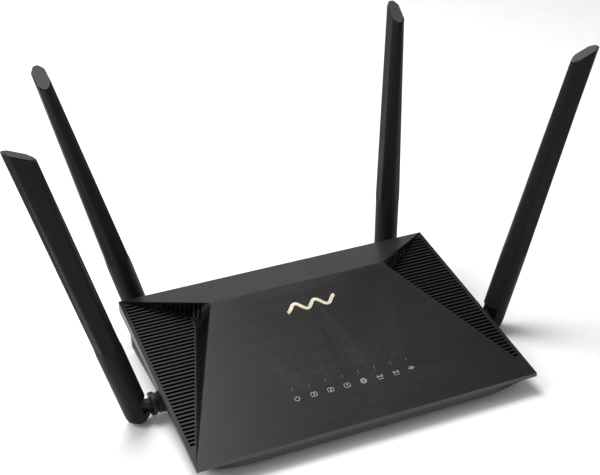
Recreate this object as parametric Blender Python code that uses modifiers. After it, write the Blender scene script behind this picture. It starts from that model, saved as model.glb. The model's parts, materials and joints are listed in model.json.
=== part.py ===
"""Desktop wireless router with four folding antennas.

Origin: middle of the flat underside of the bottom case.  +Z is up, -Y is the front
with the status lights, +Y is the rear with the sockets.  Metres throughout.
"""
import bpy
import bmesh
from math import atan, cos, pi, radians, sin, sqrt, tan
from mathutils import Matrix, Vector

MM = 0.001
GAP = 0.3 * MM

# ---- driving dimensions: housing ----
HALF_WIDTH = 108.0 * MM
HALF_DEPTH = 75.0 * MM
FRONT_EDGE_Z = 8.5 * MM
REAR_EDGE_Z = 34.2 * MM
RIDGE_Z = 42.1 * MM
RIDGE_Y = 35.2 * MM
RIDGE_HALF = 59.0 * MM
GRILLE_CORNER = (67.6 * MM, 42.7 * MM)
PANEL_WALL = 2.2 * MM
STEP_WALL = 1.8 * MM
RIM_WIDTH = 4.0 * MM
RIM_BACK = 2.0 * MM
RIM_REAR_Z = 26.7 * MM
RIM_FRONT_Z = 6.1 * MM
ROOF_FILLET = 3.0 * MM
GRILLE_FILLET = 8.0 * MM
CASE_HALF_BASE = 102.9 * MM
CASE_HALF_TOP = 103.5 * MM
CASE_DRAFT = 0.019
CASE_REAR_Y = 72.7 * MM
CASE_FRONT_BASE_Y = -72.4 * MM
CASE_FRONT_TOP_Y = -74.4 * MM
CASE_BASE_CORNER = [(0.0, 8.4 * MM), (10.0 * MM, 2.8 * MM), (24.0 * MM, 0.0)]
CASE_TOP_CORNER = [(0.0, 3.0 * MM), (3.0 * MM, 0.0), (24.0 * MM, 0.0)]
CASE_WALL = 2.0 * MM
CASE_TOP_DROP = 2.8 * MM

# ---- vent slots ----
SLOT_COUNT = 42
SLOT_FIRST_Y = 67.8 * MM
SLOT_LAST_Y = -56.9 * MM
SLOT_PITCH = (SLOT_FIRST_Y - SLOT_LAST_Y) / (SLOT_COUNT - 1)
SLOT_WIDTH = 1.75 * MM
SLOT_OUTER_X = 103.0 * MM
SLOT_LIP_X = 105.6 * MM
SLOT_LIP_DEPTH = 1.7 * MM
SLOT_RIM = 0.7 * MM

# ---- inside ----
BOARD_Z = 6.0 * MM
BOARD_THICK = 1.6 * MM
BOARD_TOP = BOARD_Z + BOARD_THICK
BOARD_HALF = 76.0 * MM
BOARD_REAR_Y = 66.0 * MM
BOARD_FRONT_Y = -48.0 * MM
SEAT_Z = BOARD_TOP + GAP
LIGHT_COUNT = 8
LIGHT_PITCH = 10.6 * MM
LIGHT_Y = -41.0 * MM
LIGHT_SLOT = (1.1 * MM, 3.6 * MM)

# ---- antennas ----
STUB_Z = 5.8 * MM
SIDE_STUB_REACH = 18.1 * MM
REAR_STUB_REACH = 20.5 * MM
SIDE_STUB_Y = -1.5 * MM
REAR_STUB_X = 89.8 * MM
REAR_STUB_Z = 7.3 * MM
PIN_DROP = 0.9 * MM
SHAFT_HOLE_R = 3.3 * MM
BLADE_HALF = 7.55 * MM
BLADE_ROUND_R = 7.95 * MM
BLADE_TIP_HALF_THICK = 4.3 * MM
BLADE_FLAT_SHARE = 0.58
BLADE_EDGE_HALF = 1.5 * MM
BLADE_CORNER = 0.7 * MM
BLADE_HIGH = 188.2 * MM
BLADE_LOW = 176.4 * MM
ROUND_TOP = 47.0 * MM
BLADE_START = 52.0 * MM
FOOT_RINGS = [(0.40, -8.4 * MM), (0.70, -7.1 * MM), (0.92, -5.0 * MM), (0.99, -2.5 * MM)]
FOOT_END = -8.8 * MM
SCOOP_R = 9.2 * MM
TONGUE_HALF = 2.5 * MM
TONGUE_R = 4.0 * MM
CLEVIS_HALF = 2.8 * MM
NOTCH_TOP = 8.0 * MM
PIN_R = 1.5 * MM
PIN_HALF = 5.2 * MM

# name, stub position, heading about Z, swivel about the stub, lean away from the case
ANTENNAS = [
    ("left_side", (-1, 0), 180.0, -2.7, 14.9),
    ("right_side", (1, 0), 0.0, 2.5, 16.4),
    ("left_rear", (-1, 1), 90.0, -14.1, 0.0),
    ("right_rear", (1, 1), 90.0, 2.4, 0.0),
]

# ---- sockets and buttons in the rear wall: name, middle in X ----
JACK_SIZE = (15.8 * MM, 20.0 * MM, 13.4 * MM)
NETWORK_JACKS = [("wan_jack", 18.0), ("lan_jack_1", -3.0), ("lan_jack_2", -21.0), ("lan_jack_3", -39.0)]
USB_X = 38.0 * MM
USB_SIZE = (13.4 * MM, 17.0 * MM, 6.6 * MM)
DC_X = 70.0 * MM
DC_SIZE = (9.0 * MM, 13.0 * MM, 10.6 * MM)
POWER_X = 55.0 * MM
WPS_X = -57.0 * MM
RESET_X = -69.0 * MM
JACK_FACE_Y = CASE_REAR_Y + 0.2 * MM
BUTTON_Z = 14.0 * MM

# ---- fixings ----
SCREWS = [("front_left", -50.0, -56.0), ("front_right", 50.0, -56.0), ("rear_left", -82.0, 63.0),
          ("rear_right", 82.0, 63.0)]
FEET = [("front_left", -88.0, -54.0), ("front_right", 88.0, -54.0), ("rear_left", -92.0, 46.0),
        ("rear_right", 92.0, 46.0)]
PEGS = [(-72.0, 20.0), (72.0, 20.0), (-72.0, -42.0), (72.0, -42.0)]
FOOT_R = 6.4 * MM
FOOT_Z = -4.5 * MM
POST_R = 3.6 * MM
POST_Z = BOARD_Z + GAP
BOSS_R = 5.0 * MM
KEYHOLE_X = 45.0 * MM
KEYHOLE_Y = 30.0 * MM

BEYOND = 4.0 * MM


# ---------------------------------------------------------------- helpers
def reset_scene():
    """Empty the scene and make one collection for parts and one for cutters."""
    for item in list(bpy.data.objects):
        bpy.data.objects.remove(item, do_unlink=True)
    parts = bpy.data.collections.new("wireless_router")
    cutters = bpy.data.collections.new("cutters")
    for group in (parts, cutters):
        bpy.context.scene.collection.children.link(group)
    return parts, cutters


PARTS, CUTTERS = reset_scene()


def material(name, color, roughness, metallic=0.0):
    """One Principled material."""
    mat = bpy.data.materials.new(name)
    mat.use_nodes = True
    shader = mat.node_tree.nodes["Principled BSDF"]
    shader.inputs["Base Color"].default_value = (*color, 1.0)
    shader.inputs["Roughness"].default_value = roughness
    shader.inputs["Metallic"].default_value = metallic
    return mat


MATERIALS = {
    "housing": material("housing", (0.055, 0.056, 0.058), 0.45),
    "case": material("case", (0.030, 0.030, 0.031), 0.6),
    "antenna": material("antenna", (0.022, 0.022, 0.023), 0.5),
    "knuckle": material("knuckle", (0.015, 0.015, 0.016), 0.4),
    "rubber": material("rubber", (0.02, 0.02, 0.02), 0.85),
    "board": material("board", (0.02, 0.12, 0.06), 0.5),
    "metal": material("metal", (0.62, 0.62, 0.64), 0.35, 1.0),
    "steel": material("steel", (0.45, 0.45, 0.47), 0.4, 1.0),
    "socket": material("socket", (0.03, 0.03, 0.03), 0.5),
    "button": material("button", (0.06, 0.06, 0.06), 0.5),
    "guide": material("guide", (0.55, 0.56, 0.58), 0.3),
    "emblem": material("emblem", (0.83, 0.76, 0.56), 0.3, 1.0),
    "pad": material("pad", (0.45, 0.5, 0.6), 0.8),
    "copper": material("copper", (0.72, 0.42, 0.25), 0.4, 1.0),
    "cable": material("cable", (0.05, 0.05, 0.05), 0.6),
}


def add_object(name, mesh, slot=None, parent=None, crease=32):
    """Link a mesh as a part, or as a cutter when it has no material slot.

    Edges sharper than the crease angle, in degrees, are shaded hard.
    """
    item = bpy.data.objects.new(name, mesh)
    if slot is None:
        CUTTERS.objects.link(item)
        item.hide_render = True
        item.display_type = "WIRE"
    else:
        PARTS.objects.link(item)
        mesh.materials.clear()
        mesh.materials.append(MATERIALS[slot])
        mesh.shade_smooth()
        mesh.set_sharp_from_angle(angle=radians(crease))
    if parent is not None:
        item.parent = parent
    return item


def mesh_from(bm, name):
    """Turn a bmesh into a mesh with its faces pointing out."""
    bmesh.ops.recalc_face_normals(bm, faces=bm.faces)
    mesh = bpy.data.meshes.new(name)
    bm.to_mesh(mesh)
    bm.free()
    return mesh


def add_box(bm, low, high, turn=None):
    """Add a box between two corners to a bmesh, optionally moved by a matrix."""
    size = [high[i] - low[i] for i in range(3)]
    middle = [(high[i] + low[i]) / 2 for i in range(3)]
    place = Matrix.Translation(middle) @ Matrix.Diagonal((*size, 1.0))
    if turn is not None:
        place = turn @ place
    bmesh.ops.create_cube(bm, size=1.0, matrix=place)


def box(name, low, high, slot=None, parent=None):
    bm = bmesh.new()
    add_box(bm, low, high)
    return add_object(name, mesh_from(bm, name), slot, parent)


def add_rod(bm, radius, start, end, sides=24):
    """Add a closed cylinder between two points to a bmesh."""
    start, end = Vector(start), Vector(end)
    along = end - start
    place = Matrix.Translation((start + end) / 2) @ along.to_track_quat("Z", "Y").to_matrix().to_4x4()
    bmesh.ops.create_cone(bm, cap_ends=True, segments=sides, radius1=radius, radius2=radius,
                          depth=along.length, matrix=place)


def rod(name, radius, start, end, slot=None, parent=None, sides=24):
    bm = bmesh.new()
    add_rod(bm, radius, start, end, sides)
    return add_object(name, mesh_from(bm, name), slot, parent)


def boolean(target, tool, operation="DIFFERENCE"):
    """Cut or join a tool with the exact solver."""
    step = target.modifiers.new(operation.lower(), "BOOLEAN")
    step.operation = operation
    step.solver = "EXACT"
    step.object = tool


def loft_mesh(name, rings, first_tip=None, last_tip=None):
    """Skin a list of equal-length rings, closing the ends with a face or a point."""
    bm = bmesh.new()
    loops = [[bm.verts.new(point) for point in ring] for ring in rings]
    count = len(loops[0])
    for lower, upper in zip(loops, loops[1:]):
        for i in range(count):
            j = (i + 1) % count
            bm.faces.new((lower[i], lower[j], upper[j], upper[i]))
    for loop, tip in ((loops[0], first_tip), (loops[-1], last_tip)):
        if tip is None:
            bm.faces.new(loop)
        else:
            point = bm.verts.new(tip)
            for i in range(count):
                bm.faces.new((loop[i], loop[(i + 1) % count], point))
    bmesh.ops.triangulate(bm, faces=bm.faces)
    return mesh_from(bm, name)


def outline_mesh(name, points, thickness):
    """A flat outline in XY, made as a filled 2D curve and turned into a closed mesh."""
    data = bpy.data.curves.new(name, "CURVE")
    data.dimensions = "2D"
    data.fill_mode = "BOTH"
    data.extrude = thickness / 2
    line = data.splines.new("POLY")
    line.points.add(len(points) - 1)
    line.use_cyclic_u = True
    for knot, (x, y) in zip(line.points, points):
        knot.co = (x, y, 0.0, 1.0)
    holder = bpy.data.objects.new(name + "_outline", data)
    bpy.context.scene.collection.objects.link(holder)
    mesh = curve_to_mesh(holder, name)
    return mesh


def curve_to_mesh(holder, name):
    """Evaluate a curve object to a welded mesh and remove the curve."""
    graph = bpy.context.evaluated_depsgraph_get()
    mesh = bpy.data.meshes.new_from_object(holder.evaluated_get(graph))
    mesh.name = name
    bm = bmesh.new()
    bm.from_mesh(mesh)
    bmesh.ops.remove_doubles(bm, verts=bm.verts, dist=0.00001)
    bmesh.ops.recalc_face_normals(bm, faces=bm.faces)
    bm.to_mesh(mesh)
    bm.free()
    bpy.data.objects.remove(holder, do_unlink=True)
    return mesh


def lathe(name, profile, steps, slot, parent, to_world):
    """Turn a profile of (along, radius) pairs about +Z, then lay its axis along +X."""
    bm = bmesh.new()
    points = [bm.verts.new((radius, 0.0, along)) for along, radius in profile]
    for upper, lower in zip(points, points[1:]):
        bm.edges.new((upper, lower))
    mesh = bpy.data.meshes.new(name)
    bm.to_mesh(mesh)
    bm.free()
    item = add_object(name, mesh, slot, parent)
    item.matrix_local = to_world
    screw = item.modifiers.new("turn", "SCREW")
    screw.axis = "Z"
    screw.steps = steps
    screw.render_steps = steps
    screw.use_merge_vertices = True
    screw.merge_threshold = 0.00001
    screw.use_smooth_shade = True
    return item


# ---------------------------------------------------------------- housing surfaces
EDGE_SLOPE = (REAR_EDGE_Z - FRONT_EDGE_Z) / (2 * HALF_DEPTH)
FRONT_SLOPE = (RIDGE_Z - FRONT_EDGE_Z) / (RIDGE_Y + HALF_DEPTH)
REAR_SLOPE = (REAR_EDGE_Z - RIDGE_Z) / (HALF_DEPTH - RIDGE_Y)
RIM_SLOPE = (RIM_REAR_Z - RIM_FRONT_Z) / (2 * HALF_DEPTH)


def edge_z(y):
    """Height of the flat plane through the cover's four corners, which holds the grilles."""
    return FRONT_EDGE_Z + (y + HALF_DEPTH) * EDGE_SLOPE


def roof_z(y):
    """Height of the raised roof: the lower of its front and rear panels."""
    front = FRONT_EDGE_Z + (y + HALF_DEPTH) * FRONT_SLOPE
    rear = RIDGE_Z + (y - RIDGE_Y) * REAR_SLOPE
    return min(front, rear)


def rim_z(y):
    """Height of the cover's lower rim."""
    return RIM_FRONT_Z + (y + HALF_DEPTH) * RIM_SLOPE


def fillet(corner, toward_a, toward_b, radius, count):
    """Points of the arc that rounds a corner between two directions in XY."""
    corner = Vector(corner)
    a = (Vector(toward_a) - corner).normalized()
    b = (Vector(toward_b) - corner).normalized()
    half = a.angle(b) / 2
    center = corner + (a + b).normalized() * (radius / sin(half))
    start = corner + a * (radius / tan(half)) - center
    sweep = pi - 2 * half
    turn = 1.0 if start.cross(b) > 0 else -1.0
    points = []
    for i in range(count):
        angle = turn * sweep * i / (count - 1)
        points.append(center + Matrix.Rotation(angle, 2) @ start)
    return points


REAR_CORNER = (-HALF_WIDTH, HALF_DEPTH)
FRONT_CORNER = (-HALF_WIDTH, -HALF_DEPTH)
ROOF_CORNER = (-RIDGE_HALF, RIDGE_Y)
GRILLE_INNER = (-GRILLE_CORNER[0], GRILLE_CORNER[1])


def roof_arc():
    """The roof's rounded corner, front to rear, with a point exactly on the ridge."""
    arc = fillet(ROOF_CORNER, FRONT_CORNER, REAR_CORNER, ROOF_FILLET, 7)
    middle = min(range(1, 6), key=lambda i: abs(arc[i].y - RIDGE_Y))
    arc[middle].y = RIDGE_Y
    return arc


def grille_arc():
    """The grille's rounded inner corner, front to rear."""
    return fillet(GRILLE_INNER, FRONT_CORNER, REAR_CORNER, GRILLE_FILLET, 7)


def inner_corner(point, planes):
    """Move a corner inward so that each (normal, thickness) plane gets its thickness."""
    rows = Matrix([normal for normal, _ in planes[:3]])
    shift = rows.inverted() @ Vector([-thickness for _, thickness in planes[:3]])
    return Vector(point) + shift


def plane_normal(a, b, c):
    """Upward or outward unit normal of a plane through three points."""
    normal = (Vector(b) - Vector(a)).cross(Vector(c) - Vector(a)).normalized()
    return normal


def cover_half():
    """The cover's left half: outer skin, inner skin and rim, open at the middle plane."""
    bm = bmesh.new()
    cache = {}

    def vert(point):
        key = tuple(round(value * 1e7) for value in point)
        if key not in cache:
            cache[key] = bm.verts.new(point)
        return cache[key]

    def face(*points):
        bm.faces.new([vert(point) for point in points])

    rear = Vector((*REAR_CORNER, REAR_EDGE_Z))
    front = Vector((*FRONT_CORNER, FRONT_EDGE_Z))
    rear_mid = Vector((0, HALF_DEPTH, REAR_EDGE_Z))
    front_mid = Vector((0, -HALF_DEPTH, FRONT_EDGE_Z))
    ridge_mid = Vector((0, RIDGE_Y, RIDGE_Z))
    roof = [Vector((point.x, point.y, roof_z(point.y))) for point in roof_arc()]
    grille = [Vector((point.x, point.y, edge_z(point.y))) for point in grille_arc()]
    ridge_at = min(range(len(roof)), key=lambda i: abs(roof[i].y - RIDGE_Y))

    face(front, *roof[:ridge_at + 1], ridge_mid, front_mid)
    face(*roof[ridge_at:], rear, rear_mid, ridge_mid)
    face(front, roof[0], grille[0])
    face(rear, grille[-1], roof[-1])
    for i in range(len(roof) - 1):
        face(roof[i], roof[i + 1], grille[i + 1], grille[i])
    face(rear, *reversed(grille), front)

    low = [Vector((point.x, point.y, rim_z(point.y))) for point in (rear, front)]
    low_mid = [Vector((0, HALF_DEPTH, RIM_REAR_Z)), Vector((0, -HALF_DEPTH, RIM_FRONT_Z))]
    face(rear, low[0], low[1], front)
    face(rear_mid, low_mid[0], low[0], rear)
    face(front, low[1], low_mid[1], front_mid)

    inner_x = -HALF_WIDTH + RIM_WIDTH
    inner_y = HALF_DEPTH - RIM_BACK
    in_rear = Vector((inner_x, inner_y, edge_z(inner_y) - PANEL_WALL))
    in_front = Vector((inner_x, -inner_y, edge_z(-inner_y) - PANEL_WALL))
    in_rear_mid = Vector((0, inner_y, roof_z(inner_y) - PANEL_WALL))
    in_front_mid = Vector((0, -inner_y, roof_z(-inner_y) - PANEL_WALL))
    corner = Vector((*ROOF_CORNER, RIDGE_Z))
    inner = Vector((*GRILLE_INNER, edge_z(GRILLE_INNER[1])))
    rear_step = plane_normal(rear, inner, corner)
    front_step = plane_normal(front, corner, inner)
    front_up = Vector((0, -FRONT_SLOPE, 1)).normalized()
    grille_up = Vector((0, -EDGE_SLOPE, 1)).normalized()
    steps = [(rear_step, STEP_WALL), (front_step, STEP_WALL)]
    in_roof = inner_corner(corner, [(front_up, PANEL_WALL), *steps])
    in_roof.z = min(in_roof.z, RIDGE_Z - PANEL_WALL)
    in_grille = inner_corner(inner, [(grille_up, PANEL_WALL), *steps])
    in_ridge_mid = Vector((0, in_roof.y, in_roof.z))

    face(in_front, in_front_mid, in_ridge_mid, in_roof)
    face(in_roof, in_ridge_mid, in_rear_mid, in_rear)
    face(in_front, in_roof, in_grille)
    face(in_rear, in_grille, in_roof)
    face(in_rear, in_front, in_grille)

    in_low = [Vector((point.x, point.y, rim_z(point.y))) for point in (in_rear, in_front)]
    in_low_mid = [Vector((0, point.y, point.z)) for point in in_low]
    face(in_rear, in_front, in_low[1], in_low[0])
    face(in_rear_mid, in_rear, in_low[0], in_low_mid[0])
    face(in_front, in_front_mid, in_low_mid[1], in_low[1])
    face(low[0], in_low[0], in_low[1], low[1])
    face(low_mid[0], in_low_mid[0], in_low[0], low[0])
    face(low[1], in_low[1], in_low_mid[1], low_mid[1])
    bmesh.ops.triangulate(bm, faces=bm.faces)
    return mesh_from(bm, "top_cover")


def line_x(start, end, y):
    """X of the line between two XY points at a given Y."""
    share = (y - start[1]) / (end[1] - start[1])
    return start[0] + (end[0] - start[0]) * share


def vent_cutters():
    """Every slot of both grilles and of the stepped walls beside them, as one cutter."""
    bm = bmesh.new()
    for side in (-1, 1):
        flip = Matrix.Scale(-side, 4, (1, 0, 0))
        for i in range(SLOT_COUNT):
            y = SLOT_FIRST_Y - i * SLOT_PITCH
            low_z, high_z = edge_z(y) - 5 * MM, edge_z(y) + 0.6 * MM
            end = FRONT_CORNER if y < GRILLE_INNER[1] else REAR_CORNER
            inner_x = line_x(GRILLE_INNER, end, y) - SLOT_RIM
            near_corner = max(0.0, 1 - abs(y - GRILLE_INNER[1] + 1 * MM) / (7 * MM))
            inner_x -= 1.8 * MM * near_corner
            ends = [-SLOT_OUTER_X, inner_x]
            add_box(bm, (ends[0], y - SLOT_WIDTH / 2, low_z), (ends[1], y + SLOT_WIDTH / 2, high_z), flip)
            if y < RIDGE_Y - 4 * MM:
                start = line_x(GRILLE_INNER, FRONT_CORNER, y) + 0.9 * MM
                stop = line_x(ROOF_CORNER, FRONT_CORNER, y) - 1.0 * MM
                if stop - start > 1.2 * MM:
                    add_box(bm, (start, y - SLOT_WIDTH / 2, low_z),
                            (stop, y + SLOT_WIDTH / 2, roof_z(y) + 1 * MM), flip)
        add_rear_step_slots(bm, flip)
    return add_object("cut_vents", mesh_from(bm, "cut_vents"))


def lip_slot_cutter():
    """Shallow ends of the grille slots, where they run out over the solid lip."""
    bm = bmesh.new()
    for side in (-1, 1):
        for i in range(SLOT_COUNT):
            y = SLOT_FIRST_Y - i * SLOT_PITCH
            ends = sorted((side * (SLOT_OUTER_X - 0.5 * MM), side * SLOT_LIP_X))
            add_box(bm, (ends[0], y - SLOT_WIDTH / 2, edge_z(y) - SLOT_LIP_DEPTH),
                    (ends[1], y + SLOT_WIDTH / 2, edge_z(y) + 0.6 * MM))
    return add_object("cut_lip_slots", mesh_from(bm, "cut_lip_slots"))


def add_rear_step_slots(bm, flip):
    """Upright slots through the short wall behind each grille."""
    start, end = Vector(REAR_CORNER), Vector(ROOF_CORNER)
    along = end - start
    heading = atan(along.y / along.x)
    for i in range(9):
        share = 0.50 + 0.048 * i
        spot = start + along * share
        low = edge_z(spot.y) + 1.5 * MM
        high = roof_z(spot.y) - 1.6 * MM
        turn = flip @ Matrix.Translation((spot.x, spot.y, 0)) @ Matrix.Rotation(heading, 4, "Z")
        add_box(bm, (-0.8 * MM, -4 * MM, low), (0.8 * MM, 5 * MM, high), turn)


def light_x(i):
    return (i - (LIGHT_COUNT - 1) / 2) * LIGHT_PITCH


def light_slot_cutter():
    """Eight narrow windows for the status lights."""
    bm = bmesh.new()
    for i in range(LIGHT_COUNT):
        x = light_x(i)
        add_box(bm, (x - LIGHT_SLOT[0] / 2, LIGHT_Y - LIGHT_SLOT[1] / 2, 12 * MM),
                (x + LIGHT_SLOT[0] / 2, LIGHT_Y + LIGHT_SLOT[1] / 2, 30 * MM))
    return add_object("cut_lights", mesh_from(bm, "cut_lights"))


def screw_posts():
    """Posts under the roof that the case screws bite into."""
    bm = bmesh.new()
    for _, x, y in SCREWS:
        add_rod(bm, POST_R, (x * MM, y * MM, POST_Z), (x * MM, y * MM, roof_z(y * MM) - 1.2 * MM), 20)
    return add_object("join_posts", mesh_from(bm, "join_posts"))


def screw_pilots():
    """Blind holes in the posts."""
    bm = bmesh.new()
    for _, x, y in SCREWS:
        add_rod(bm, 1.7 * MM, (x * MM, y * MM, 0), (x * MM, y * MM, 11.6 * MM), 16)
    return add_object("cut_pilots", mesh_from(bm, "cut_pilots"))


# ---------------------------------------------------------------- emblem
EMBLEM_Y = 15.9 * MM
EMBLEM_HALF = 17.0 * MM
EMBLEM_HEIGHT = 2.9 * MM
EMBLEM_STROKE = 1.15 * MM
EMBLEM_WAVES = 2.5
EMBLEM_TILT = atan(FRONT_SLOPE)


def wave_outline(stroke):
    """Outline of a ribbon that follows a sine wave."""
    count = 40
    upper, lower = [], []
    reach = EMBLEM_HALF + (stroke - EMBLEM_STROKE)
    for i in range(count + 1):
        x = -reach + 2 * reach * i / count
        phase = 2 * pi * EMBLEM_WAVES * x / (2 * EMBLEM_HALF)
        y = EMBLEM_HEIGHT * sin(phase)
        slope = EMBLEM_HEIGHT * cos(phase) * pi * EMBLEM_WAVES / EMBLEM_HALF
        length = sqrt(1 + slope * slope)
        upper.append((x - stroke * slope / length, y + stroke / length))
        lower.append((x + stroke * slope / length, y - stroke / length))
    return upper + lower[::-1]


def emblem_place(height):
    """Matrix that lays something on the main panel, a height above its surface."""
    spot = Matrix.Translation((0, EMBLEM_Y, roof_z(EMBLEM_Y)))
    return spot @ Matrix.Rotation(EMBLEM_TILT, 4, "X") @ Matrix.Translation((0, 0, height))


def emblem():
    """A thin metal wave let into the panel, and the shallow pocket it sits in."""
    pocket = add_object("cut_emblem", outline_mesh("cut_emblem", wave_outline(EMBLEM_STROKE + GAP), 2 * MM))
    pocket.matrix_world = emblem_place(0.4 * MM)
    part = add_object("wave_emblem", outline_mesh("wave_emblem", wave_outline(EMBLEM_STROKE), 0.6 * MM),
                      "emblem")
    part.matrix_world = emblem_place(0.0)
    return pocket


def top_cover():
    """Roof, both grilles, rim and screw posts, moulded in one piece."""
    cover = add_object("top_cover", cover_half(), "housing", crease=20)
    mirror = cover.modifiers.new("both_halves", "MIRROR")
    mirror.use_axis = (True, False, False)
    mirror.merge_threshold = 0.00001
    boolean(cover, screw_posts(), "UNION")
    boolean(cover, screw_pilots())
    boolean(cover, vent_cutters())
    boolean(cover, lip_slot_cutter())
    boolean(cover, light_slot_cutter())
    boolean(cover, emblem())


# ---------------------------------------------------------------- bottom case
def case_ring(inset, front_y, rear_y, corner, z_of):
    """Outline of the case at one level, with its front corners cut back."""
    half = CASE_HALF_BASE - inset
    plan = [(0, rear_y)] + [(x, front_y + back) for x, back in corner]
    left = [(-half + x - CASE_DRAFT * z_of(y), y, z_of(y)) for x, y in plan]
    return left + [(-x, y, z) for x, y, z in reversed(left)]


def case_hull():
    base = case_ring(0.0, CASE_FRONT_BASE_Y, CASE_REAR_Y, CASE_BASE_CORNER, lambda y: 0.0)
    top = case_ring(0.0, CASE_FRONT_TOP_Y, CASE_REAR_Y, CASE_TOP_CORNER, lambda y: edge_z(y) - CASE_TOP_DROP)
    return loft_mesh("bottom_case", [base, top])


def case_cavity():
    wall = CASE_WALL
    base = case_ring(wall, CASE_FRONT_BASE_Y + wall, CASE_REAR_Y - wall, CASE_BASE_CORNER, lambda y: wall)
    top = case_ring(wall, CASE_FRONT_TOP_Y + wall, CASE_REAR_Y - wall, CASE_TOP_CORNER,
                    lambda y: edge_z(y) + 2 * MM)
    return add_object("cut_cavity", loft_mesh("cut_cavity", [base, top]))


def case_bosses():
    """Screw bosses and the stepped pegs that carry the board."""
    bm = bmesh.new()
    for _, x, y in SCREWS:
        add_rod(bm, BOSS_R, (x * MM, y * MM, 1 * MM), (x * MM, y * MM, BOARD_Z), 20)
    for x, y in PEGS:
        add_rod(bm, 3.2 * MM, (x * MM, y * MM, 1 * MM), (x * MM, y * MM, BOARD_Z - GAP), 16)
    return add_object("join_bosses", mesh_from(bm, "join_bosses"))


def case_stub_bosses():
    """Raised rings on the rear wall that the rear antennas' swivels turn against."""
    bm = bmesh.new()
    for side in (-1, 1):
        add_rod(bm, 6.0 * MM, (side * REAR_STUB_X, CASE_REAR_Y - 1 * MM, REAR_STUB_Z),
                (side * REAR_STUB_X, CASE_REAR_Y + 2.4 * MM, REAR_STUB_Z), 24)
    return add_object("join_stub_bosses", mesh_from(bm, "join_stub_bosses"))


def keyhole_guard(inset, low, high):
    """Boxes over both keyholes, which keep the screw heads off the board."""
    bm = bmesh.new()
    for side in (-1, 1):
        x = side * KEYHOLE_X
        add_box(bm, (x - 5.9 * MM + inset, KEYHOLE_Y - 5.9 * MM + inset, low),
                (x + 5.9 * MM - inset, KEYHOLE_Y + 13.6 * MM - inset, high))
    return mesh_from(bm, "keyhole_guard")


def case_peg_tips():
    bm = bmesh.new()
    for x, y in PEGS:
        add_rod(bm, 1.2 * MM, (x * MM, y * MM, 3 * MM), (x * MM, y * MM, BOARD_TOP + 1.2 * MM), 12)
    return add_object("join_pegs", mesh_from(bm, "join_pegs"))


def case_round_cuts():
    """Foot recesses, screw holes, keyhole mouths and the four antenna holes."""
    bm = bmesh.new()
    for _, x, y in FEET:
        add_rod(bm, FOOT_R + GAP, (x * MM, y * MM, -2 * MM), (x * MM, y * MM, 0.8 * MM), 24)
    for _, x, y in SCREWS:
        add_rod(bm, 3.4 * MM, (x * MM, y * MM, -2 * MM), (x * MM, y * MM, 3.5 * MM), 20)
    for side in (-1, 1):
        add_rod(bm, 4.6 * MM, (side * KEYHOLE_X, KEYHOLE_Y, -2 * MM), (side * KEYHOLE_X, KEYHOLE_Y, 4 * MM))
        wall_x = side * (CASE_HALF_TOP + BEYOND)
        add_rod(bm, SHAFT_HOLE_R, (side * (CASE_HALF_BASE - 5 * MM), SIDE_STUB_Y, STUB_Z),
                (wall_x, SIDE_STUB_Y, STUB_Z))
        add_rod(bm, SHAFT_HOLE_R, (side * REAR_STUB_X, CASE_REAR_Y - 5 * MM, REAR_STUB_Z),
                (side * REAR_STUB_X, CASE_REAR_Y + BEYOND, REAR_STUB_Z))
    return add_object("cut_rounds", mesh_from(bm, "cut_rounds"))


def case_shank_holes():
    bm = bmesh.new()
    for _, x, y in SCREWS:
        add_rod(bm, 1.7 * MM, (x * MM, y * MM, 2 * MM), (x * MM, y * MM, BOARD_Z + 2 * MM), 16)
    for side in (-1, 1):
        add_box(bm, (side * KEYHOLE_X - 2.45 * MM, KEYHOLE_Y, -2 * MM),
                (side * KEYHOLE_X + 2.45 * MM, KEYHOLE_Y + 10 * MM, 4 * MM))
    return add_object("cut_shanks", mesh_from(bm, "cut_shanks"))


def case_vents():
    """Upright slots along both side walls and a block of slots in the floor."""
    bm = bmesh.new()
    for side in (-1, 1):
        for i in range(20):
            y = SLOT_FIRST_Y - 1 * MM - i * SLOT_PITCH
            x_ends = sorted((side * (CASE_HALF_BASE - 5 * MM), side * (CASE_HALF_TOP + BEYOND)))
            add_box(bm, (x_ends[0], y - SLOT_WIDTH / 2, 3.5 * MM),
                    (x_ends[1], y + SLOT_WIDTH / 2, edge_z(y) - 6.5 * MM))
        for i in range(10):
            y = -26 * MM + i * 2 * SLOT_PITCH
            x_ends = sorted((side * 4 * MM, side * 34 * MM))
            add_box(bm, (x_ends[0], y - 1 * MM, -2 * MM), (x_ends[1], y + 1 * MM, 4 * MM))
    return add_object("cut_case_vents", mesh_from(bm, "cut_case_vents"))


def port_windows():
    """Openings in the rear wall for sockets and buttons."""
    bm = bmesh.new()
    depth = (CASE_REAR_Y - 5 * MM, CASE_REAR_Y + BEYOND)

    def window(x, half, low, high):
        add_box(bm, (x - half - GAP, depth[0], low - GAP), (x + half + GAP, depth[1], high + GAP))

    for _, x in NETWORK_JACKS:
        window(x * MM, JACK_SIZE[0] / 2, SEAT_Z, SEAT_Z + JACK_SIZE[2])
    window(USB_X, USB_SIZE[0] / 2, SEAT_Z, SEAT_Z + USB_SIZE[2])
    window(DC_X, DC_SIZE[0] / 2, SEAT_Z, SEAT_Z + DC_SIZE[2])
    window(POWER_X, 3.5 * MM, BUTTON_Z - 3.5 * MM, BUTTON_Z + 3.5 * MM)
    window(WPS_X, 4.0 * MM, BUTTON_Z - 2.5 * MM, BUTTON_Z + 2.5 * MM)
    return add_object("cut_ports", mesh_from(bm, "cut_ports"))


def reset_hole():
    return rod("cut_reset", 1.5 * MM, (RESET_X, CASE_REAR_Y - 5 * MM, BUTTON_Z),
               (RESET_X, CASE_REAR_Y + BEYOND, BUTTON_Z), sides=16)


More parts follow.
